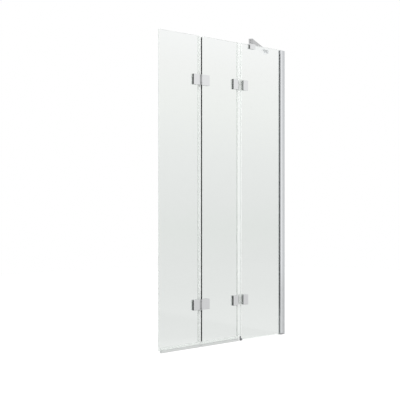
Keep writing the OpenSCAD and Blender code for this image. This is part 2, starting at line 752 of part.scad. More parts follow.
// a flange on the bar's end and a plug inside it, bored for the swivel pin and for the lock screws
module brace_head_plug() color(chrome) along_brace() difference() {
  union() {
    bevel_block([-bar_overhang, -bar_w / 2, -bar_h / 2], [bar_start, bar_w / 2, bar_h / 2], bar_bevel);
    block([bar_start - edge_gap, -plug_w / 2, -plug_h / 2], [bar_start + plug_l, plug_w / 2, plug_h / 2]);
  }
  translate([0, 0, -bar_h]) cylinder(r = swivel_r + running_gap, h = 2 * bar_h);
  at_locks() {
    translate([0, 0, -bar_overhang - cut]) cylinder(r = lock_r + held_gap, h = bar_overhang + cut);
    translate([0, 0, -bar_overhang - slide_gap])
      cylinder(r1 = lock_r + lock_bevel + slide_gap, r2 = lock_r, h = lock_bevel + slide_gap);
  }
}

module brace_lock_screws() color(chrome) along_brace() at_locks() difference() {
  translate([0, 0, lock_bevel - bar_overhang])
    cylinder(r = lock_r, h = bar_overhang - lock_bevel - swivel_r - slide_gap);
  translate([0, 0, -bar_overhang - cut])
    cylinder(d = screw_socket_w, h = lock_bevel + screw_socket_d + cut, $fn = 6);
}

module brace_wall_plug() color(chrome) along_brace() difference() {
  union() {
    block([bar_stop - plug_l, -plug_w / 2, -plug_h / 2], [bar_stop, plug_w / 2, plug_h / 2]);
    block([bar_stop - cut, -eye_r, -eye_t / 2], [brace_l, eye_r, eye_t / 2]);
    translate([brace_l, 0, -eye_t / 2]) cylinder(r = eye_r, h = eye_t);
  }
  translate([brace_l, 0, -bar_h]) cylinder(r = bracket_pin_r + running_gap, h = 2 * bar_h);
}

module bracket_cheek() {
  block([-bracket_pin_x, -eye_r, 0], [-bracket_t + edge_gap, eye_r, bracket_cheek_t]);
  translate([-bracket_pin_x, 0, 0]) cylinder(r = eye_r, h = bracket_cheek_t);
}

module brace_wall_bracket() color(chrome) translate([0, bracket_y, bar_mid]) difference() {
  union() {
    bevel_block([-bracket_t, -bracket_w / 2, -bracket_h / 2], [0, bracket_w / 2, bracket_h / 2], leaf_bevel);
    translate([0, 0, fork_half]) bracket_cheek();
    translate([0, 0, -fork_half - bracket_cheek_t]) bracket_cheek();
  }
  translate([-bracket_pin_x, 0, -bar_h]) cylinder(r = bracket_pin_r + held_gap, h = 2 * bar_h);
  for (side = [-1, 1]) translate([0, side * bracket_hole_pitch / 2, 0]) {
    translate([-bracket_t - cut, 0, 0]) rotate([0, 90, 0])
      cylinder(r = bracket_hole_r, h = bracket_t + 2 * cut);
    translate([-bracket_t - slide_gap, 0, 0]) rotate([0, 90, 0])
      cylinder(r1 = bracket_sink_r, r2 = bracket_hole_r, h = bracket_sink_r - bracket_hole_r);
  }
}

pin_half = fork_half + bracket_cheek_t;

module brace_bracket_pin() color(chrome) translate([-bracket_pin_x, bracket_y, bar_mid - pin_half])
  cylinder(r = bracket_pin_r, h = 2 * pin_half);

// ---- nodes ----

wall_channel();
glazing_channel();
adjusting_screws();
channel_cap();
outer_glazing_gasket();
inner_glazing_gasket();
glass_packers();
fixed_glass();
fixed_bottom_seal();
fixed_corner_stop();
fixed_fold_seal();
brace_clamp();
brace_clamp_pads();
brace_pressure_plate();
brace_grub_screws();
brace_swivel_pin();
brace_bar();
brace_head_plug();
brace_lock_screws();
brace_wall_plug();
brace_wall_bracket();
brace_bracket_pin();
carrying_leaf(inner_fold, upper);  // upper_inner_carrying_leaf
carrying_leaf(inner_fold, lower);  // lower_inner_carrying_leaf
carrying_plate(inner_fold, upper);  // upper_inner_carrying_plate
carrying_plate(inner_fold, lower);  // lower_inner_carrying_plate
hinge_pin(inner_fold, upper);  // upper_inner_pin
hinge_pin(inner_fold, lower);  // lower_inner_pin
fixed_hinge_pads();
fixed_hinge_screws();
middle_glass();
middle_fold_seal();
middle_edge_gasket();
middle_bottom_seal();
middle_seal_plug();
carried_leaf(inner_fold, upper);  // upper_inner_carried_leaf
carried_leaf(inner_fold, lower);  // lower_inner_carried_leaf
carried_plate(inner_fold, upper);  // upper_inner_carried_plate
carried_plate(inner_fold, lower);  // lower_inner_carried_plate
inner_bushes();
carrying_leaf(outer_fold, upper);  // upper_outer_carrying_leaf
carrying_leaf(outer_fold, lower);  // lower_outer_carrying_leaf
carrying_plate(outer_fold, upper);  // upper_outer_carrying_plate
carrying_plate(outer_fold, lower);  // lower_outer_carrying_plate
hinge_pin(outer_fold, upper);  // upper_outer_pin
hinge_pin(outer_fold, lower);  // lower_outer_pin
middle_hinge_pads();
middle_hinge_screws();
end_glass();
end_fold_seal();
end_bottom_seal();
end_seal_plug();
carried_leaf(outer_fold, upper);  // upper_outer_carried_leaf
carried_leaf(outer_fold, lower);  // lower_outer_carried_leaf
carried_plate(outer_fold, upper);  // upper_outer_carried_plate
carried_plate(outer_fold, lower);  // lower_outer_carried_plate
outer_bushes();
end_hinge_pads();
end_hinge_screws();
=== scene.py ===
import math
import bpy
import numpy as np
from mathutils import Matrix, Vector


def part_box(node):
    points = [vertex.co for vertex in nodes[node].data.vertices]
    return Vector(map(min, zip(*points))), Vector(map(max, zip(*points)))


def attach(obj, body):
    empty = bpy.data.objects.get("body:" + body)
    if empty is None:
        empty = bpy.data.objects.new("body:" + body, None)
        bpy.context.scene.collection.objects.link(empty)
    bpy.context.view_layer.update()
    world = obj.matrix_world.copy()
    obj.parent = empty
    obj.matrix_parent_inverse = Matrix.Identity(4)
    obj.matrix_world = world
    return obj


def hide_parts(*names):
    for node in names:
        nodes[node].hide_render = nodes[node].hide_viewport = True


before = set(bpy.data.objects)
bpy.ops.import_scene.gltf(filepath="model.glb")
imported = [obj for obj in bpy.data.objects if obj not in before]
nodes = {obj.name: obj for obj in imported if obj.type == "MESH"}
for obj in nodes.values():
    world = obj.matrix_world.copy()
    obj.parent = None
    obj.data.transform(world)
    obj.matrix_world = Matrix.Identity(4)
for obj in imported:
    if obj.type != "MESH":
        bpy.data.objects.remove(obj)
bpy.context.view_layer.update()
scene = bpy.context.scene
print("frame loaded:", len(nodes), "nodes")

mm = 0.001
white = (1, 1, 1, 1)
levels = ("upper", "lower")
sharpDeg = 40           # an edge that turns by more than this stays sharp in the shading


# sRGB hex to linear colour, as the shader sockets want it
def hexColour(text, alpha=1.0):
    values = np.array([int(text[i:i + 2], 16) for i in (1, 3, 5)]) / 255
    linear = np.where(values <= 0.04045, values / 12.92, ((values + 0.055) / 1.055) ** 2.4)
    return (*linear.tolist(), alpha)


# adds one node: settings are the node's own options, inputs are its sockets, by value or by link
def addNode(tree, kind, inputs=None, **settings):
    node = tree.nodes.new("ShaderNode" + kind)
    for name, value in settings.items():
        setattr(node, name, value)
    for name, value in (inputs or {}).items():
        if isinstance(value, bpy.types.NodeSocket):
            tree.links.new(value, node.inputs[name])
        else:
            node.inputs[name].default_value = value
    return node


# low where the share is 0, high where it is 1
def between(tree, share, low, high):
    return addNode(tree, "MapRange", {"Value": share, "To Min": low, "To Max": high}).outputs[0]


# from first to last, smoothly, as the value goes from start to end
def eased(tree, value, start, end, first, last):
    return addNode(tree, "MapRange", {"Value": value, "From Min": start, "From Max": end, "To Min": first,
                                      "To Max": last}, interpolation_type="SMOOTHSTEP").outputs[0]


# one value times the other
def product(tree, one, other):
    return addNode(tree, "Math", {0: one, 1: other}, operation="MULTIPLY").outputs[0]


# 1 where the light path has had a bounce of this kind before, named by its depth, and 0 elsewhere
def hasBounced(tree, path, depth):
    return addNode(tree, "Math", {0: path.outputs[depth], 1: 0.5}, operation="GREATER_THAN").outputs[0]


# one shader where the switch is 0, the other where it is 1
def switchShader(tree, switch, off, on):
    return addNode(tree, "MixShader", {0: switch, 1: off.outputs[0], 2: on.outputs[0]})


# an empty material with its tree and output
def startMaterial(name):
    material = bpy.data.materials.new(name)
    material.use_nodes = True
    material.node_tree.nodes.clear()
    output = addNode(material.node_tree, "OutputMaterial")
    return material, material.node_tree, output


# a node's lowest and highest corners, in millimetres
def cadCorners(name):
    low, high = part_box(name)
    return np.array(low) / mm, np.array(high) / mm


# the way a shape lies: the rows are its outline's two directions and the direction it is carried in
upright = np.array([[1.0, 0, 0], [0, 1, 0], [0, 0, 1]])
alongBath = np.array([[0.0, 1, 0], [0, 0, 1], [1, 0, 0]])
acrossBath = np.array([[1.0, 0, 0], [0, 0, 1], [0, 1, 0]])


# A closed outline, anticlockwise, with a round at each corner:
# point = centre + bulge * radius * spoke, where the spoke turns evenly from the normal of one side, n1, to
# that of the next, n2, centre = corner - bulge * radius * (n1 + n2) / (1 + n1.n2), and bulge is 1 at an outer
# corner and -1 at an inner one. The spokes are the outline's normals too.
def roundedOutline(corners, radii, steps=5):
    corners = np.array(corners, float)
    radii = np.broadcast_to(np.array(radii, float), len(corners))
    sides = np.roll(corners, -1, 0) - corners
    sides /= np.linalg.norm(sides, axis=1, keepdims=True)
    after = np.stack([sides[:, 1], -sides[:, 0]], -1)
    before = np.roll(after, 1, 0)
    cross = before[:, 0] * after[:, 1] - before[:, 1] * after[:, 0]
    dot = (before * after).sum(1)
    reach = (np.sign(cross) * radii)[:, None]
    centre = corners - reach * (before + after) / (1 + dot)[:, None]
    start = np.arctan2(before[:, 1], before[:, 0])
    turn = start[:, None] + np.arctan2(cross, dot)[:, None] * np.linspace(0, 1, steps)
    spokes = np.stack([np.cos(turn), np.sin(turn)], -1)
    points = centre[:, None] + reach[:, None] * spokes
    return points.reshape(-1, 2), spokes.reshape(-1, 2)


# four corners from two, for an oblong outline
def oblong(low, high):
    return [(low[0], low[1]), (high[0], low[1]), (high[0], high[1]), (low[0], high[1])]


# the faces between rings that lie one on the other, and the two that close the ends
def ringFaces(rings, points, closed=False):
    ring, point = np.meshgrid(np.arange(rings if closed else rings - 1), np.arange(points), indexing="ij")
    nextRing, nextPoint = (ring + 1) % rings * points, (point + 1) % points
    ring = ring * points
    faces = np.stack([ring + point, ring + nextPoint, nextRing + nextPoint, nextRing + point], -1)
    faces = faces.reshape(-1, 4).tolist()
    if not closed:
        faces += [list(range(points))[::-1], list(range((rings - 1) * points, rings * points))]
    return faces


# puts rings in their place and turns the faces round where the way is left-handed
def placeRings(rings, way, origin, closed=False):
    faces = ringFaces(rings.shape[0], rings.shape[1], closed)
    if np.linalg.det(way) < 0:
        faces = [face[::-1] for face in faces]
    return rings.reshape(-1, 3) @ way + np.array(origin, float), faces


# flat rings, each at its own height
def stackRings(flat, heights):
    return np.concatenate([flat, np.broadcast_to(heights[:, None, None], (*flat.shape[:2], 1))], -1)


# An outline carried from low to high with both rims rounded: at turn a, 0 to 90 degrees, the ring is drawn in
# by rim * (1 - sin a) along the outline's normals and lies rim * (1 - cos a) inside its end.
def prism(outline, low, high, rim, way=upright, origin=(0, 0, 0), steps=5):
    points, normals = outline
    turn = np.linspace(0, np.pi / 2, steps)
    inset, rise = rim * (1 - np.sin(turn)), rim * (1 - np.cos(turn))
    insets = np.concatenate([inset, inset[::-1]])[:, None, None]
    heights = np.concatenate([low + rise, high - rise[::-1]])
    return placeRings(stackRings(points - insets * normals, heights), way, origin)


# The same with a bore: up the outer outline, over the end, down the inner one and back.
def tube(outer, wall, low, high, rim, way=upright, origin=(0, 0, 0), steps=5):
    points, normals = outer
    turn = np.linspace(0, np.pi / 2, steps)
    inset, rise = rim * (1 - np.sin(turn)), rim * (1 - np.cos(turn))
    insets = np.concatenate([inset, inset[::-1], [wall, wall]])[:, None, None]
    heights = np.concatenate([low + rise, high - rise[::-1], [high, low]])
    return placeRings(stackRings(points - insets * normals, heights), way, origin, closed=True)


# A profile of radii and heights turned about the carried direction: (r cos t, r sin t, h).
def turned(profile, way=upright, origin=(0, 0, 0), steps=40):
    radius, height = np.array(profile, float).T
    turn = np.linspace(0, 2 * np.pi, steps, endpoint=False)
    flat = radius[:, None, None] * np.stack([np.cos(turn), np.sin(turn)], -1)
    return placeRings(stackRings(flat, height), way, origin)


# turns a shell inside out, for a hollow inside another shell
def hollow(shell):
    return shell[0], [face[::-1] for face in shell[1]]


# one mesh, in metres, from shells in millimetres
def shellObject(name, shells):
    starts = np.cumsum([0] + [len(points) for points, faces in shells])
    points = np.concatenate([points for points, faces in shells]) * mm
    faces = [[int(start) + corner for corner in face]
             for start, (_, shell) in zip(starts, shells) for face in shell]
    mesh = bpy.data.meshes.new(name)
    mesh.from_pydata(points.tolist(), [], faces)
    obj = bpy.data.objects.new(name, mesh)
    scene.collection.objects.link(obj)
    return obj


# One finished piece from its shells: holes cut, shading even over flats and rounds, its body and finish set.
def addPiece(name, body, finish, shells, replaced, cuts=()):
    obj = shellObject(name, shells)
    if cuts:
        cutter = shellObject(name + "Cut", cuts)
        bore = obj.modifiers.new("bore", "BOOLEAN")
        bore.object, bore.operation, bore.solver, bore.use_self = cutter, "DIFFERENCE", "EXACT", True
        bored = bpy.data.meshes.new_from_object(obj.evaluated_get(bpy.context.evaluated_depsgraph_get()))
        obj.modifiers.clear()
        obj.data = bored
        bpy.data.objects.remove(cutter)
    obj.data.name = name
    obj.data.shade_smooth()
    obj.data.set_sharp_from_angle(angle=math.radians(sharpDeg))
    even = obj.modifiers.new("evenShading", "WEIGHTED_NORMAL")
    even.keep_sharp = True
    material, slot = finishes[finish]
    obj.data.materials.clear()
    obj.data.materials.append(material)
    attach(obj, body)
    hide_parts(*replaced)
    return obj


# The vanishing point of the glass's level edges and the horizon give the camera's turn and height.
photoView = dict(
    widthPx=400, focalPx=700.0, horizonPx=198.7,
    turnDeg=52.853,                     # from the run of the screen towards the bath side
    place=(-2.6064, -2.7033, 0.7182),
    sensorMm=36.0)


def makeCamera(view):
    data = bpy.data.cameras.new("photoCamera")
    camera = bpy.data.objects.new("photoCamera", data)
    scene.collection.objects.link(camera)
    data.sensor_width = view["sensorMm"]
    data.lens = view["focalPx"] / view["widthPx"] * view["sensorMm"]
    data.shift_y = -(view["widthPx"] / 2 - view["horizonPx"]) / view["widthPx"]
    camera.location = view["place"]
    camera.rotation_euler = (math.radians(90), 0, math.radians(view["turnDeg"] - 90))
    scene.camera = camera


makeCamera(photoView)

# The floor glows just enough to be white where no shadow falls, and is plain white through the glass. Mirrors
# see it in an even light that meets the sky's far away, darker in front of the screen and, through the glass,
# beside it, so that a mirror finish has something to show. Turns are in degrees about the upright, from the
# bath's length. Towards its turn a part is darkest where the cosine reaches inner, and it ends at outer. The
# dark floor beside the screen starts at near and is darkest at far, both in metres.
stageSettings = dict(
    floorDrop=0.5 * mm, floorReach=3.6, floorSides=96, floorColour="#BEBEBE",
    floorGlow=0.45, nearGlow=0.56, farGlow=0.65, shadowReach=1.2, mirrorGlow=0.76, mirrorNear=1.6,
    skyDiffuse=0.70, skyGloss=0.93, passedGloss=1.12,
    roomTurnDeg=40.0, roomInner=0.94, roomOuter=0.62, roomDark=0.34,
    sideTurnDeg=131.0, sideInner=0.90, sideOuter=0.55, sideDark=0.98,
    besideNear=0.5, besideFar=0.9, besideDark=1.0,
    lensTurnDeg=262.0, lensInner=0.90, lensOuter=0.79, lensDark=0.75,
    beforeTurnDeg=232.0, beforeOuter=0.80, beforeInner=0.92,
    endTurnDeg=198.0, endInner=0.97, endOuter=0.80, endDark=0.35)


# how far a direction or a place lies towards a turn about the upright, as a cosine or in metres
def facingTurn(tree, direction, turnDeg):
    turn = math.radians(turnDeg)
    facing = addNode(tree, "VectorMath", {0: direction, 1: (math.cos(turn), math.sin(turn), 0)},
                     operation="DOT_PRODUCT")
    return facing.outputs["Value"]


# a level disc: one ring of points at equal turns
def makeFloor(s):
    turn = np.linspace(0, 2 * np.pi, s["floorSides"], endpoint=False)
    ring = np.stack([np.cos(turn) * s["floorReach"], np.sin(turn) * s["floorReach"],
                     np.full(s["floorSides"], -s["floorDrop"])], -1)
    mesh = bpy.data.meshes.new("paleFloor")
    mesh.from_pydata(ring.tolist(), [], [list(range(s["floorSides"]))])
    floor = bpy.data.objects.new("paleFloor", mesh)
    scene.collection.objects.link(floor)
    material, tree, output = startMaterial("mattWhiteFloor")
    path = addNode(tree, "LightPath")
    passing = path.outputs["Is Transmission Ray"]
    place = addNode(tree, "TexCoord").outputs["Object"]
    away = addNode(tree, "VectorMath", {0: place}, operation="LENGTH").outputs["Value"]
    way = addNode(tree, "VectorMath", {0: place}, operation="NORMALIZE").outputs[0]

    shown = eased(tree, away, s["shadowReach"], s["floorReach"], s["nearGlow"], s["farGlow"])
    strength = between(tree, path.outputs["Is Camera Ray"], s["floorGlow"], shown)
    glow = addNode(tree, "Emission", {"Color": white, "Strength": strength})
    matt = addNode(tree, "BsdfDiffuse", {"Color": hexColour(s["floorColour"])})
    lit = addNode(tree, "AddShader", {0: glow.outputs[0], 1: matt.outputs[0]})
    plain = addNode(tree, "Emission", {"Color": white, "Strength": 1.0})
    seen = switchShader(tree, passing, lit, plain)

    even = eased(tree, away, s["mirrorNear"], s["floorReach"], s["mirrorGlow"], s["skyGloss"])
    before = eased(tree, facingTurn(tree, way, s["beforeTurnDeg"]), s["beforeOuter"], s["beforeInner"],
                   1.0, 1 - s["lensDark"])
    beside = eased(tree, facingTurn(tree, place, s["sideTurnDeg"]), s["besideNear"], s["besideFar"],
                   1.0, 1 - s["besideDark"])
    direct = between(tree, hasBounced(tree, path, "Transmission Depth"), product(tree, before, even),
                     s["passedGloss"])
    mirrored = between(tree, passing, direct, product(tree, beside, even))
    mirror = addNode(tree, "Emission", {"Color": white, "Strength": mirrored})
    both = switchShader(tree, hasBounced(tree, path, "Glossy Depth"), seen, mirror)
    tree.links.new(both.outputs[0], output.inputs["Surface"])
    mesh.materials.append(material)


# Camera and glass see plain white. Mirrors see white with soft dark parts: the room behind the screen, and
# what stands beside it, which only shows in a mirror through the glass.
def makeSky(s):
    world = bpy.data.worlds.new("studioSky")
    scene.world = world
    world.use_nodes = True
    tree = world.node_tree
    tree.nodes.clear()
    output = addNode(tree, "OutputWorld")
    path = addNode(tree, "LightPath")
    direction = addNode(tree, "TexCoord")
    level = addNode(tree, "VectorMath", {0: direction.outputs["Generated"], 1: (1, 1, 0)},
                    operation="MULTIPLY")
    level = addNode(tree, "VectorMath", {0: level.outputs[0]}, operation="NORMALIZE")

    def darkPart(key):
        return eased(tree, facingTurn(tree, level.outputs[0], s[key + "TurnDeg"]), s[key + "Outer"],
                     s[key + "Inner"], 1.0, 1 - s[key + "Dark"])

    def light(strength):
        return addNode(tree, "Background", {"Color": white, "Strength": strength})

    direct = product(tree, product(tree, darkPart("room"), darkPart("end")), darkPart("lens"))
    direct = product(tree, direct, s["skyGloss"])
    direct = between(tree, hasBounced(tree, path, "Transmission Depth"), direct, s["passedGloss"])
    mirrorThrough = light(product(tree, darkPart("side"), s["skyGloss"]))
    plain = light(1.0)
    glassy = switchShader(tree, hasBounced(tree, path, "Glossy Depth"), plain, mirrorThrough)
    lit = switchShader(tree, path.outputs["Is Glossy Ray"], light(s["skyDiffuse"]), light(direct))
    seen = switchShader(tree, path.outputs["Is Transmission Ray"], lit, glassy)
    shown = switchShader(tree, path.outputs["Is Camera Ray"], seen, plain)
    tree.links.new(shown.outputs[0], output.inputs["Surface"])


lampSettings = dict(
    key=dict(place=(-3.0, -2.4, 3.4), size=2.4, watts=95.0, look=(-0.4, 0.0, 0.7)),
    fill=dict(place=(1.4, -2.4, 2.6), size=2.2, watts=50.0, look=(-0.4, 0.0, 0.7)))


def makeLamp(name, s):
    data = bpy.data.lights.new(name, "AREA")
    data.shape = "SQUARE"
    data.size, data.energy = s["size"], s["watts"]
    lamp = bpy.data.objects.new(name, data)
    scene.collection.objects.link(lamp)
    lamp.location = s["place"]
    lamp.rotation_euler = (Vector(s["look"]) - Vector(s["place"])).to_track_quat("-Z", "Y").to_euler()
    lamp.visible_camera = lamp.visible_glossy = lamp.visible_transmission = False


makeFloor(stageSettings)
makeSky(stageSettings)
for lampName, lampValues in lampSettings.items():
    makeLamp(lampName, lampValues)
print("stage set")

# Heights in metres and the pane's colour there, with painted reflection: paler towards the top, and towards
# the bottom where the bath shows in it. A face counts as the pane's own where its normal's share across the
# glass is above faceTo, and as an edge below faceFrom.
glassSettings = dict(
    ior=1.52, edgeTint="#EEF3F0", shadowTint="#F4F7F5", edgeClear=0.25, edgeRough=0.35,
    faceFrom=0.80, faceTo=0.95,
    paintedReflectionTints=((0.0, "#E9ECEA"), (0.20, "#E5E8E6"), (0.41, "#E0E3E1"), (0.58, "#DFE3E0"), (0.70, "#E2E5E3"),
           (0.90, "#E6E9E7"), (1.17, "#EDF0ED"), (1.36, "#F1F3F1"), (1.50, "#F5F7F6")),
    waveMm=240.0, waveLift=0.04, waveDeepMm=0.1)


# Toughened float glass: clear and a little green-grey, with the faint long wave that the furnace's rollers
# leave. Its ground edges are pale and frosted, so that they show as light lines.
def makeGlass(s):
    material, tree, output = startMaterial("toughenedFloatGlass")
    place = addNode(tree, "TexCoord")
    split = addNode(tree, "SeparateXYZ", {0: place.outputs["Object"]})
    top = s["paintedReflectionTints"][-1][0]
    # the pane's colour by height is painted reflection, not a tint of the glass itself
    height = addNode(tree, "MapRange", {"Value": split.outputs["Z"], "From Min": 0.0, "From Max": top})
    paintedReflection = addNode(tree, "ValToRGB", {0: height.outputs[0]})
    ramp = paintedReflection.color_ramp
    for z, _ in s["paintedReflectionTints"][1:-1]:
        ramp.elements.new(z / top)
    for element, (z, colour) in zip(ramp.elements, s["paintedReflectionTints"]):
        element.position = z / top
        element.color = hexColour(colour)
    shape = addNode(tree, "NewGeometry")
    normal = addNode(tree, "SeparateXYZ", {0: shape.outputs["Normal"]})
    face = addNode(tree, "Math", {0: normal.outputs["Y"]}, operation="ABSOLUTE")
    colour = addNode(tree, "Mix", {0: face.outputs[0], 6: hexColour(s["edgeTint"]), 7: paintedReflection.outputs[0]},
                     data_type="RGBA")
    flat = addNode(tree, "MapRange", {"Value": face.outputs[0], "From Min": s["faceFrom"],
                                      "From Max": s["faceTo"]})
    wave = addNode(tree, "TexNoise", {"Vector": place.outputs["Object"], "Scale": 1 / (s["waveMm"] * mm)})
    bump = addNode(tree, "Bump", {"Height": wave.outputs[0], "Strength": s["waveLift"],
                                  "Distance": s["waveDeepMm"] * mm})
    glass = addNode(tree, "BsdfPrincipled", {
        "Base Color": colour.outputs[2], "Roughness": between(tree, flat.outputs[0], s["edgeRough"], 0.0),
        "IOR": s["ior"], "Transmission Weight": between(tree, flat.outputs[0], s["edgeClear"], 1.0),
        "Normal": bump.outputs[0]})
    path = addNode(tree, "LightPath")
    passing = addNode(tree, "BsdfTransparent", {"Color": hexColour(s["shadowTint"])})
    both = switchShader(tree, path.outputs["Is Shadow Ray"], glass, passing)
    tree.links.new(both.outputs[0], output.inputs["Surface"])
    return material


# Chrome plate is a cool mirror, a little less sharp where it is rubbed. Satin chrome plate lies on a brushed
# surface, so it is paler and shows no picture. Anodised aluminium has fine lines along the way it was drawn:
# the glazing channel is polished, the wall channel left satin. Turned steel has a darker, uneven grain.
metalSettings = dict(
    chrome=dict(name="brightChromePlate", colour="#E8E9EA", rough=0.05, roughSpread=0.04, grainMm=9.0,
                stretch=1.0, lift=0.02),
    satin=dict(name="satinChromePlate", colour="#F0F1F2", rough=0.30, roughSpread=0.06, grainMm=3.0,
               stretch=1.0, lift=0.02),
    profile=dict(name="polishedAnodisedAluminium", colour="#E8EAEC", rough=0.13, roughSpread=0.06,
                 grainMm=1.4, stretch=0.03, lift=0.03),
    channel=dict(name="satinAnodisedAluminium", colour="#D4D6D8", rough=0.24, roughSpread=0.06, grainMm=1.4,
                 stretch=0.03, lift=0.04),
    steel=dict(name="turnedStainlessSteel", colour="#C6C7C8", rough=0.2, roughSpread=0.08, grainMm=0.8,
               stretch=1.0, lift=0.03))
metalGrain = dict(detail=3.0, deepMm=0.05)


def makeMetal(s, grain):
    material, tree, output = startMaterial(s["name"])
    place = addNode(tree, "TexCoord")
    along = addNode(tree, "Mapping", {"Vector": place.outputs["Object"], "Scale": (1, 1, s["stretch"])})
    noise = addNode(tree, "TexNoise", {"Vector": along.outputs[0], "Scale": 1 / (s["grainMm"] * mm),
                                       "Detail": grain["detail"]})
    rough = between(tree, noise.outputs[0], s["rough"], s["rough"] + s["roughSpread"])
    bump = addNode(tree, "Bump", {"Height": noise.outputs[0], "Strength": s["lift"],
                                  "Distance": grain["deepMm"] * mm})
    metal = addNode(tree, "BsdfPrincipled", {"Base Color": hexColour(s["colour"]), "Metallic": 1.0,
                                             "Roughness": rough, "Normal": bump.outputs[0]})
    tree.links.new(metal.outputs[0], output.inputs["Surface"])
    return material


# The extruded plastics and the rubber have a faint draw line along their length, the moulded ones a fine even
# grain. The milky fold seals let most of the light through, the clear bottom clips still more and the moulded
# gaskets less than half. The grey lips and the stop are solid and soft, the black gasket matt, and the acetal
# bushes a little glossy.
softSettings = dict(
    milky=dict(name="milkyExtrudedPvc", colour="#E8EBE9", rough=0.30, alpha=0.38, ior=1.53, grainMm=1.5,
               stretch=(1, 1, 0.04)),
    clear=dict(name="clearExtrudedPvc", colour="#EEF1EF", rough=0.22, alpha=0.22, ior=1.53, grainMm=1.5,
               stretch=(0.04, 1, 1)),
    # grey: on the bottom seals' lips it also carries painted shade from where they meet the rim
    grey=dict(name="greyExtrudedPvc", colour="#BDBFBE", rough=0.40, alpha=1.0, ior=1.53, grainMm=1.5,
              stretch=(0.04, 1, 1)),
    black=dict(name="blackExtrudedRubber", colour="#0E0F10", rough=0.66, alpha=1.0, ior=1.3, grainMm=0.6,
               stretch=(1, 1, 0.1)),
    stop=dict(name="mouldedGreyRubber", colour="#6A6C6E", rough=0.6, alpha=1.0, ior=1.5, grainMm=0.6,
              stretch=(1, 1, 1)),
    pad=dict(name="clearMouldedGasket", colour="#E4E7E5", rough=0.3, alpha=0.6, ior=1.45, grainMm=0.8,
             stretch=(1, 1, 1)),
    acetal=dict(name="blackMouldedAcetal", colour="#26272A", rough=0.45, alpha=1.0, ior=1.48, grainMm=0.5,
                stretch=(1, 1, 1)))
softGrain = dict(roughSpread=0.08, lift=0.15, deepMm=0.1)


def makeSoft(s, grain):
    material, tree, output = startMaterial(s["name"])
    place = addNode(tree, "TexCoord")
    along = addNode(tree, "Mapping", {"Vector": place.outputs["Object"], "Scale": s["stretch"]})
    noise = addNode(tree, "TexNoise", {"Vector": along.outputs[0], "Scale": 1 / (s["grainMm"] * mm)})
    rough = between(tree, noise.outputs[0], s["rough"] - grain["roughSpread"],
                    s["rough"] + grain["roughSpread"])
    bump = addNode(tree, "Bump", {"Height": noise.outputs[0], "Strength": grain["lift"],
                                  "Distance": grain["deepMm"] * mm})
    plastic = addNode(tree, "BsdfPrincipled", {"Base Color": hexColour(s["colour"]), "Roughness": rough,
                                               "IOR": s["ior"], "Alpha": s["alpha"],
                                               "Normal": bump.outputs[0]})
    tree.links.new(plastic.outputs[0], output.inputs["Surface"])
    return material


made = dict(glass=makeGlass(glassSettings))
made.update({key: makeMetal(values, metalGrain) for key, values in metalSettings.items()})
made.update({key: makeSoft(values, softGrain) for key, values in softSettings.items()})
slotOf = dict(
    glass="glass", chrome="chrome", satin="chrome", profile="profile", channel="profile", steel="steel",
    milky="clear_seal", clear="clear_seal", grey="grey_seal", black="black_rubber", stop="black_rubber",
    pad="pad", acetal="bearing_plastic")
finishes = {key: (made[key], slot) for key, slot in slotOf.items()}


# gives CAD nodes that keep their own shape their finish
def dress(finish, *names):
    for name in names:
        slots = nodes[name].data.materials
        slots.clear()
        slots.append(finishes[finish][0])


dress("glass", "fixed_glass", "middle_glass", "end_glass")
dress("clear", "fixed_bottom_seal")
dress("grey", "middle_seal_plug", "end_seal_plug")
dress("pad", "fixed_hinge_pads", "middle_hinge_pads", "end_hinge_pads", "brace_clamp_pads")
dress("acetal", "inner_bushes", "outer_bushes", "glass_packers")
dress("channel", "wall_channel", "brace_pressure_plate")
dress("steel", "adjusting_screws", "brace_grub_screws", "brace_lock_screws", "fixed_hinge_screws",
      "middle_hinge_screws", "end_hinge_screws", *[n for n in nodes if n.endswith("_pin")])
dress("chrome", "brace_head_plug")
print("materials made")

# Hinges: the leaf with the barrel, and the plate across the glass. Distances in millimetres from the axis
# along the screen, and from the middle of the glass across it.
hingeSettings = dict(
    barrelR=5.0, foldRelief=0.5, reliefR=0.45, leafGap=6.0, leafInner=4.0, webLap=1.0, barrelH=32.0,
    earStart=17.1, cornerR=1.8, rim=1.2, barrelRim=0.5, plateW=31.0, screwPitch=28.0, boreR=2.7, sinkR=4.7,
    sinkDepth=2.6, boreDepth=11.0, past=0.5)


# countersunk bores for the two screws of a plate, cut from the bath side
def screwBores(s, x, z, face):
    profile = [(s["boreR"], -s["boreDepth"]), (s["boreR"], -s["sinkDepth"]), (s["sinkR"], 0),
               (s["sinkR"] + s["past"] * (s["sinkR"] - s["boreR"]) / s["sinkDepth"], s["past"])]
    return [turned(profile, acrossBath, (x, face, z + side * s["screwPitch"] / 2)) for side in (-1, 1)]


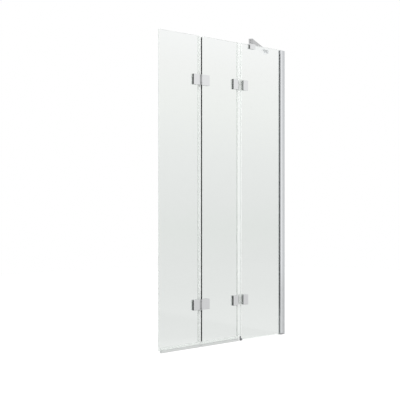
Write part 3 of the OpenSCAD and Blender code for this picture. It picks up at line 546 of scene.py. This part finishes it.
def hingeLeaf(s, name, level, fold, role, body):
    low, high = cadCorners(f"{level}_{fold}_{role}_leaf")
    across = -1 if fold == "outer" else 1                      # which side of the glass the barrel is on
    along = 1 if role == "carrying" else -1
    axisX = low[0] + s["barrelR"] if along > 0 else high[0] - s["barrelR"]
    axisY = np.abs([low[1], high[1]]).max() - s["barrelR"]
    reach = (high[0] - axisX) if along > 0 else (axisX - low[0])
    face, middle, half = axisY - s["foldRelief"], (low[2] + high[2]) / 2, (high[2] - low[2]) / 2
    origin = (axisX, 0, middle)
    flat = roundedOutline(oblong((s["leafGap"], -half), (reach, half)), s["cornerR"])
    shells = [prism(flat, s["leafInner"], face, s["rim"], acrossBath * [[along], [1], [across]], origin)]
    r, web = s["barrelR"], s["leafGap"] + s["webLap"]
    knuckle = roundedOutline(
        [(-r, axisY - r), (web, axisY - r), (web, face), (r, face), (r, axisY + r), (-r, axisY + r)],
        [r, s["rim"], s["rim"], s["reliefR"], r, r], steps=12)
    way = upright * [[along], [across], [1]]
    if role == "carrying":
        shells += [prism(knuckle, s["earStart"], half, s["barrelRim"], way, origin),
                   prism(knuckle, -half, -s["earStart"], s["barrelRim"], way, origin)]
    else:
        shells += [prism(knuckle, -s["barrelH"] / 2, s["barrelH"] / 2, s["barrelRim"], way, origin)]
    cuts = screwBores(s, axisX + along * (reach - s["plateW"] / 2), middle, face) if across > 0 else ()
    addPiece(name, body, "chrome", shells, [f"{level}_{fold}_{role}_leaf"], cuts)


def hingePlate(s, name, level, fold, role, body):
    low, high = cadCorners(f"{level}_{fold}_{role}_plate")
    middle = (low + high) / 2
    flat = roundedOutline(oblong((low[0], low[2]), (high[0], high[2])), s["cornerR"])
    cuts = screwBores(s, middle[0], middle[2], high[1]) if fold == "outer" else ()
    addPiece(name, body, "chrome", [prism(flat, low[1], high[1], s["rim"], acrossBath)],
             [f"{level}_{fold}_{role}_plate"], cuts)


bodyOf = {("inner", "carrying"): "fixed_side", ("inner", "carried"): "middle_panel",
          ("outer", "carrying"): "middle_panel", ("outer", "carried"): "end_panel"}
for (fold, role), body in bodyOf.items():
    for level in levels:
        hingeLeaf(hingeSettings, f"{level}{fold.title()}{role.title()}Leaf", level, fold, role, body)
        hingePlate(hingeSettings, f"{level}{fold.title()}{role.title()}Plate", level, fold, role, body)
print("hinges made")

# Seals along the glass edges, drawn around the edge they sit on: x away from the glass, y across it.
sealSettings = dict(
    glassHalf=3.0, seat=0.05, clip=0.8, leg=9.0, flare=0.25, flareL=1.2, tipR=0.3, legTipR=0.24, innerR=0.15,
    webR=0.7, rim=0.3, web=2.0, lip=0.8, bulb=5.2, bulbR=2.0, bulbWall=0.8, hollowR=1.2,
    endLipTo=8.7, endLipRoot=0.6, endLipLean=0.45, endLipRise=0.75, endLipR=1.5, endLipInnerR=0.5,
    fixedLipTo=11.7, fixedLipR=0.4, gasketR=0.9)


# the two legs that grip the glass, from the outer side's tip round the glass to the other tip
def clipInside(s):
    grip, out = s["glassHalf"] + s["seat"], s["glassHalf"] + s["seat"] + s["flare"]
    return ([(-s["leg"], out), (s["flareL"] - s["leg"], grip), (s["seat"], grip), (s["seat"], -grip),
             (s["flareL"] - s["leg"], -grip), (-s["leg"], -out)],
            [s["legTipR"], s["webR"], s["innerR"], s["innerR"], s["webR"], s["legTipR"]])


def foldSeals(s):
    half, start, lip, tipR = s["glassHalf"] + s["clip"], s["leg"], s["lip"], s["tipR"]
    inside, insideR = clipInside(s)
    low, high = cadCorners("end_fold_seal")
    tip, rise = s["endLipLean"] - half, s["endLipRise"] - half
    bulbed = [(-start, -half), (s["bulb"] - s["endLipRoot"], -half), (s["endLipTo"], tip),
              (s["endLipTo"], tip + lip), (s["bulb"], rise + lip), (s["bulb"], half), (-start, half)]
    bulbedR = [tipR, s["endLipR"], tipR, tipR, s["endLipInnerR"], s["bulbR"], tipR]
    outline = roundedOutline(bulbed + inside, bulbedR + insideR)
    wall = s["bulbWall"]
    inner = roundedOutline(oblong((s["seat"] + wall, wall - s["glassHalf"]),
                                  (s["bulb"] - wall, s["glassHalf"] - wall)), s["hollowR"])
    edge = (low[0] + start, 0, 0)
    shells = [prism(outline, low[2], high[2], s["rim"], upright, edge),
              hollow(prism(inner, low[2] + wall, high[2] - wall, s["rim"], upright, edge))]
    addPiece("endFoldSeal", "end_panel", "milky", shells, ["end_fold_seal"])

    low, high = cadCorners("middle_fold_seal")
    outline = roundedOutline([(-start, -half), (s["web"], -half), (s["web"], half), (-start, half)] + inside,
                             [tipR, s["webR"], s["webR"], tipR] + insideR)
    shells = [prism(outline, low[2], high[2], s["rim"], upright, (low[0] + start, 0, 0))]
    addPiece("middleFoldSeal", "middle_panel", "milky", shells, ["middle_fold_seal"])

    low, high = cadCorners("fixed_fold_seal")
    lipped = [(-start, -half), (s["fixedLipTo"], -half), (s["fixedLipTo"], lip - half),
              (s["web"], lip - half), (s["web"], half), (-start, half)]
    outline = roundedOutline(lipped + inside, [tipR, tipR, tipR, s["fixedLipR"], s["webR"], tipR] + insideR)
    shells = [prism(outline, low[2], high[2], s["rim"], upright * [[-1], [1], [1]], (high[0] - start, 0, 0))]
    addPiece("fixedFoldSeal", "fixed_side", "milky", shells, ["fixed_fold_seal"])

    low, high = cadCorners("middle_edge_gasket")
    outline = roundedOutline(oblong(low[:2], high[:2] - (s["seat"], 0)), s["gasketR"])
    addPiece("middleEdgeGasket", "middle_panel", "black", [prism(outline, low[2], high[2], s["rim"])],
             ["middle_edge_gasket"])


foldSeals(sealSettings)

# Bottom seals, drawn out of two plastics at once: a clear hard clip on the glass, and under it two soft grey
# lips that lean outwards and end just above the rim. The lips' grey is partly their own colour and partly
# painted shade, standing for the shadow where the seal meets the rim.
bottomSettings = dict(
    lift=12.0, leg=14.0, lipTip=0.6, lean=1.8, join=1.2, tipR=0.3, bendR=1.2, underR=0.6, rim=0.3)


def bottomSeal(s, clip, name, node, body):
    low, high = cadCorners(node)
    grip, half = clip["glassHalf"] + clip["seat"], clip["glassHalf"] + clip["clip"]
    out, top, lip = half + s["lean"], s["lift"] + s["leg"], clip["lip"]
    base, floor = s["lift"] - clip["clip"], s["lift"] - clip["seat"]
    side = [(half, base), (half, top), (grip, top), (grip, floor)]
    radii = [s["tipR"], s["tipR"], s["tipR"], clip["innerR"]]
    outline = roundedOutline(side + [(-y, z) for y, z in side[::-1]], radii + radii[::-1])
    addPiece(name + "Clip", body, "clear", [prism(outline, low[0], high[0], s["rim"], alongBath)], [node])
    bend = base - s["join"]
    side = [(out, s["lipTip"]), (half, bend), (half, base), (-half, base), (-half, bend), (-out, s["lipTip"])]
    under = [(lip - out, s["lipTip"]), (lip - half, bend), (half - lip, bend), (out - lip, s["lipTip"])]
    outline = roundedOutline(side + under, [s["tipR"], s["bendR"], s["tipR"], s["tipR"], s["bendR"],
                                            s["tipR"], s["tipR"], s["underR"], s["underR"], s["tipR"]])
    # the lips' grey holds painted shade from the seal's foot on the rim as well as their own colour
    addPiece(name + "Lips", body, "grey", [prism(outline, low[0], high[0], s["rim"], alongBath)], [node])


bottomSeal(bottomSettings, sealSettings, "endBottomSeal", "end_bottom_seal", "end_panel")
bottomSeal(bottomSettings, sealSettings, "middleBottomSeal", "middle_bottom_seal", "middle_panel")


# A soft stop around the lower corner of the fixed glass: a leg up its edge, a foot along its lower edge and a
# sole.
stopSettings = dict(leg=3.0, footH=10.0, glassLift=6.0, lap=0.6, edgeR=0.5, rim=0.35)


def cornerStop(s, clip):
    low, high = cadCorners("fixed_corner_stop")
    grip, half = clip["glassHalf"] + clip["seat"], clip["glassHalf"] + clip["clip"]
    edge = low[0] + clip["lip"]

    def around(right):
        back = edge - clip["seat"]
        return roundedOutline([(low[0], -half), (right, -half), (right, -grip), (back, -grip), (back, grip),
                               (right, grip), (right, half), (low[0], half)],
                              [s["edgeR"], clip["tipR"], clip["tipR"], clip["innerR"], clip["innerR"],
                               clip["tipR"], clip["tipR"], s["edgeR"]])

    sole = roundedOutline(oblong(low[:2], high[:2]), s["edgeR"])
    top = s["glassLift"] - clip["seat"]
    addPiece("fixedCornerStop", "fixed_side", "stop",
             [prism(around(edge + s["leg"]), s["footH"] - s["lap"], high[2], s["rim"]),
              prism(around(high[0]), top - s["lap"], s["footH"], s["rim"]),
              prism(sole, low[2], top, s["rim"])],
             ["fixed_corner_stop"])


cornerStop(stopSettings, sealSettings)
print("seals made")

# Wall profile: the glazing channel with its two cheeks and pocket, the cap, and the wedges beside the glass.
profileSettings = dict(
    front=2.0, cheek=1.4, cheekBack=18.0, pocket=1.2, pocketHalf=5.7, pocketBack=12.0, frontR=1.3, softR=0.25,
    slide=0.1, capH=1.5, capR=0.5, capRim=0.4, glassSlot=3.1, slotTo=14.9, wallHalf=8.5, peg=8.0, pegTo=1.6,
    pegHalf=6.9, pegLap=0.7, gasketShow=1.0, gasketInner=3.05, gasketFoot=0.5, gasketLip=0.8,
    gasketBackR=0.25, gasketR=0.3, gasketLipR=0.35, gasketRim=0.25)


def wallProfile(s):
    low, high = cadCorners("glazing_channel")
    half, back, soft = high[1], -s["cheekBack"], s["softR"]
    tab, pocket, bottom = half - s["cheek"], s["pocketHalf"], -s["pocketBack"] - s["pocket"]
    web = pocket + s["pocket"]
    upper = [(-s["pocketBack"], web), (low[0] + s["front"], web), (low[0] + s["front"], tab), (back, tab),
             (back, half), (low[0], half), (low[0], pocket), (bottom, pocket)]
    radii = [soft, soft, soft, soft, soft, s["frontR"], soft, soft]
    outline = roundedOutline([(x, -y) for x, y in upper[::-1]] + upper, radii[::-1] + radii)
    addPiece("glazingChannel", "fixed_side", "profile", [prism(outline, low[2], high[2], soft)],
             ["glazing_channel"])

    low, high = cadCorners("channel_cap")
    base, wall, slot = high[2] - s["capH"], s["wallHalf"], s["glassSlot"]
    outer = [(0, wall), (back, wall), (back, half), (low[0], half), (low[0], slot), (-s["slotTo"], slot)]
    radii = [s["capR"], s["slide"], s["capR"], s["frontR"], s["capR"], s["slide"]]
    cap = roundedOutline([(x, -y) for x, y in outer[::-1]] + outer, radii[::-1] + radii)
    peg = roundedOutline(oblong((s["slide"] - s["pocketBack"], -s["pegHalf"]), (-s["pegTo"], s["pegHalf"])),
                         s["capR"])
    shells = [prism(cap, base, high[2], s["capRim"]),
              prism(peg, base - s["peg"], base + s["pegLap"], s["capRim"])]
    addPiece("channelCap", "fixed_side", "profile", shells, ["channel_cap"])

    for name, node, side, finish in (("innerGlazingGasket", "inner_glazing_gasket", 1, "grey"),
                                     ("outerGlazingGasket", "outer_glazing_gasket", -1, "stop")):
        low, high = cadCorners(node)
        inner, face, wedge = s["gasketInner"], low[0] + s["gasketShow"], s["pocketHalf"] - s["slide"]
        outline = roundedOutline([(low[0], inner), (high[0], inner), (high[0], wedge),
                                  (face + s["gasketFoot"], wedge), (low[0], inner + s["gasketLip"])],
                                 [s["gasketBackR"], *[s["gasketR"]] * 3, s["gasketLipR"]])
        shells = [prism(outline, low[2], high[2], s["gasketRim"], upright * [[1], [side], [1]])]
        addPiece(name, "fixed_side", finish, shells, [node])


wallProfile(profileSettings)
print("wall profile made")

# Brace: the clamp over the glass's top edge, the hollow bar, and the bracket on the wall. The plug in the
# bar's far end has the eye that turns on the bracket's upright pin.
braceSettings = dict(
    jaw=8.7, bridge=3.4, topR=1.2, footR=1.0, slotR=0.4, rim=0.8, grubR=2.55, grubPitch=18.0, grubRise=13.0,
    grubBevel=0.5, grubPast=1.0, barW=20.0, wall=1.5, barR=0.9, barRim=0.15, overhang=10.0, endGap=16.0,
    plugGap=0.1, plugL=26.0, plugRim=0.4, eyeR=8.0, eyeT=8.0, eyeLap=1.0, roundGap=0.01, plateR=2.5,
    plateT=5.0, cheekT=4.0, cheekLap=0.5, forkGap=0.3, holePitch=30.0, holeR=2.5, sinkR=4.6, past=0.5)


def brace(s):
    low, high = cadCorners("brace_clamp")
    pin = sum(cadCorners("brace_swivel_pin")) / 2
    wallPin = sum(cadCorners("brace_bracket_pin")) / 2
    run = wallPin[:2] - pin[:2]
    length = np.linalg.norm(run)
    forward = np.append(run / length, 0)
    alongBrace = np.array([[-forward[1], forward[0], 0], [0, 0, 1], forward])
    overBrace = np.array([forward, [-forward[1], forward[0], 0], [0, 0, 1]])

    inner, outer, slotTop = low[1] + s["jaw"], high[1] - s["jaw"], high[2] - s["bridge"]
    section = roundedOutline(
        [(low[1], low[2]), (inner, low[2]), (inner, slotTop), (outer, slotTop), (outer, low[2]),
         (high[1], low[2]), (high[1], high[2]), (low[1], high[2])],
        [s["footR"], s["footR"], s["slotR"], s["slotR"], s["footR"], s["footR"], s["topR"], s["topR"]])
    grub = [(s["grubR"], -s["jaw"] - s["grubPast"]), (s["grubR"], -s["grubBevel"]),
            (s["grubR"] + s["grubBevel"], 0), (s["grubR"] + s["grubBevel"] + s["past"], s["past"])]
    bores = [turned(grub, acrossBath, (pin[0] + side * s["grubPitch"] / 2, high[1], low[2] + s["grubRise"]))
             for side in (-1, 1)]
    addPiece("braceClamp", "fixed_side", "chrome", [prism(section, low[0], high[0], s["rim"], alongBath)],
             ["brace_clamp"], bores)

    low, high = cadCorners("brace_bar")
    middle, half, stop = (low[2] + high[2]) / 2, (high[2] - low[2]) / 2, length - s["endGap"]
    section = roundedOutline(oblong((-s["barW"] / 2, -half), (s["barW"] / 2, half)), s["barR"])
    origin = (pin[0], pin[1], middle)
    shells = [tube(section, s["wall"] - s["plugGap"], -s["overhang"], stop, s["barRim"], alongBrace, origin)]
    addPiece("braceBar", "fixed_side", "chrome", shells, ["brace_bar"])

    across, tall = s["barW"] / 2 - s["wall"] - s["plugGap"], half - s["wall"] - s["plugGap"]
    plug = roundedOutline(oblong((-across, -tall), (across, tall)), s["barR"])
    endR = s["eyeR"] - s["roundGap"]
    eye = roundedOutline(oblong((stop - s["eyeLap"], -s["eyeR"]), (length + s["eyeR"], s["eyeR"])),
                         [s["rim"], endR, endR, s["rim"]], steps=14)
    shells = [prism(plug, stop - s["plugL"], stop, s["plugRim"], alongBrace, origin),
              prism(eye, -s["eyeT"] / 2, s["eyeT"] / 2, s["rim"], overBrace, origin)]
    addPiece("braceWallPlug", "fixed_side", "satin", shells, ["brace_wall_plug"])

    low, high = cadCorners("brace_wall_bracket")
    plate = roundedOutline(oblong(low[1:], high[1:]), s["plateR"])
    cheek = roundedOutline(oblong((wallPin[0] - s["eyeR"], wallPin[1] - s["eyeR"]),
                                  (s["cheekLap"] - s["plateT"], wallPin[1] + s["eyeR"])),
                           [endR, s["rim"], s["rim"], endR], steps=14)
    near = s["eyeT"] / 2 + s["forkGap"]
    far = near + s["cheekT"]
    shells = [prism(plate, -s["plateT"], 0, s["rim"], alongBath)]
    shells += [prism(cheek, start, end, s["rim"], upright, (0, 0, middle))
               for start, end in ((-far, -near), (near, far))]
    sink = [(s["sinkR"] + s["past"], -s["plateT"] - s["past"]),
            (s["holeR"], s["sinkR"] - s["holeR"] - s["plateT"]), (s["holeR"], s["past"])]
    holes = [turned(sink, alongBath, (0, wallPin[1] + side * s["holePitch"] / 2, middle)) for side in (-1, 1)]
    addPiece("braceWallBracket", "fixed_side", "satin", shells, ["brace_wall_bracket"], holes)


brace(braceSettings)
print("brace made")

scene.view_settings.view_transform = "Standard"
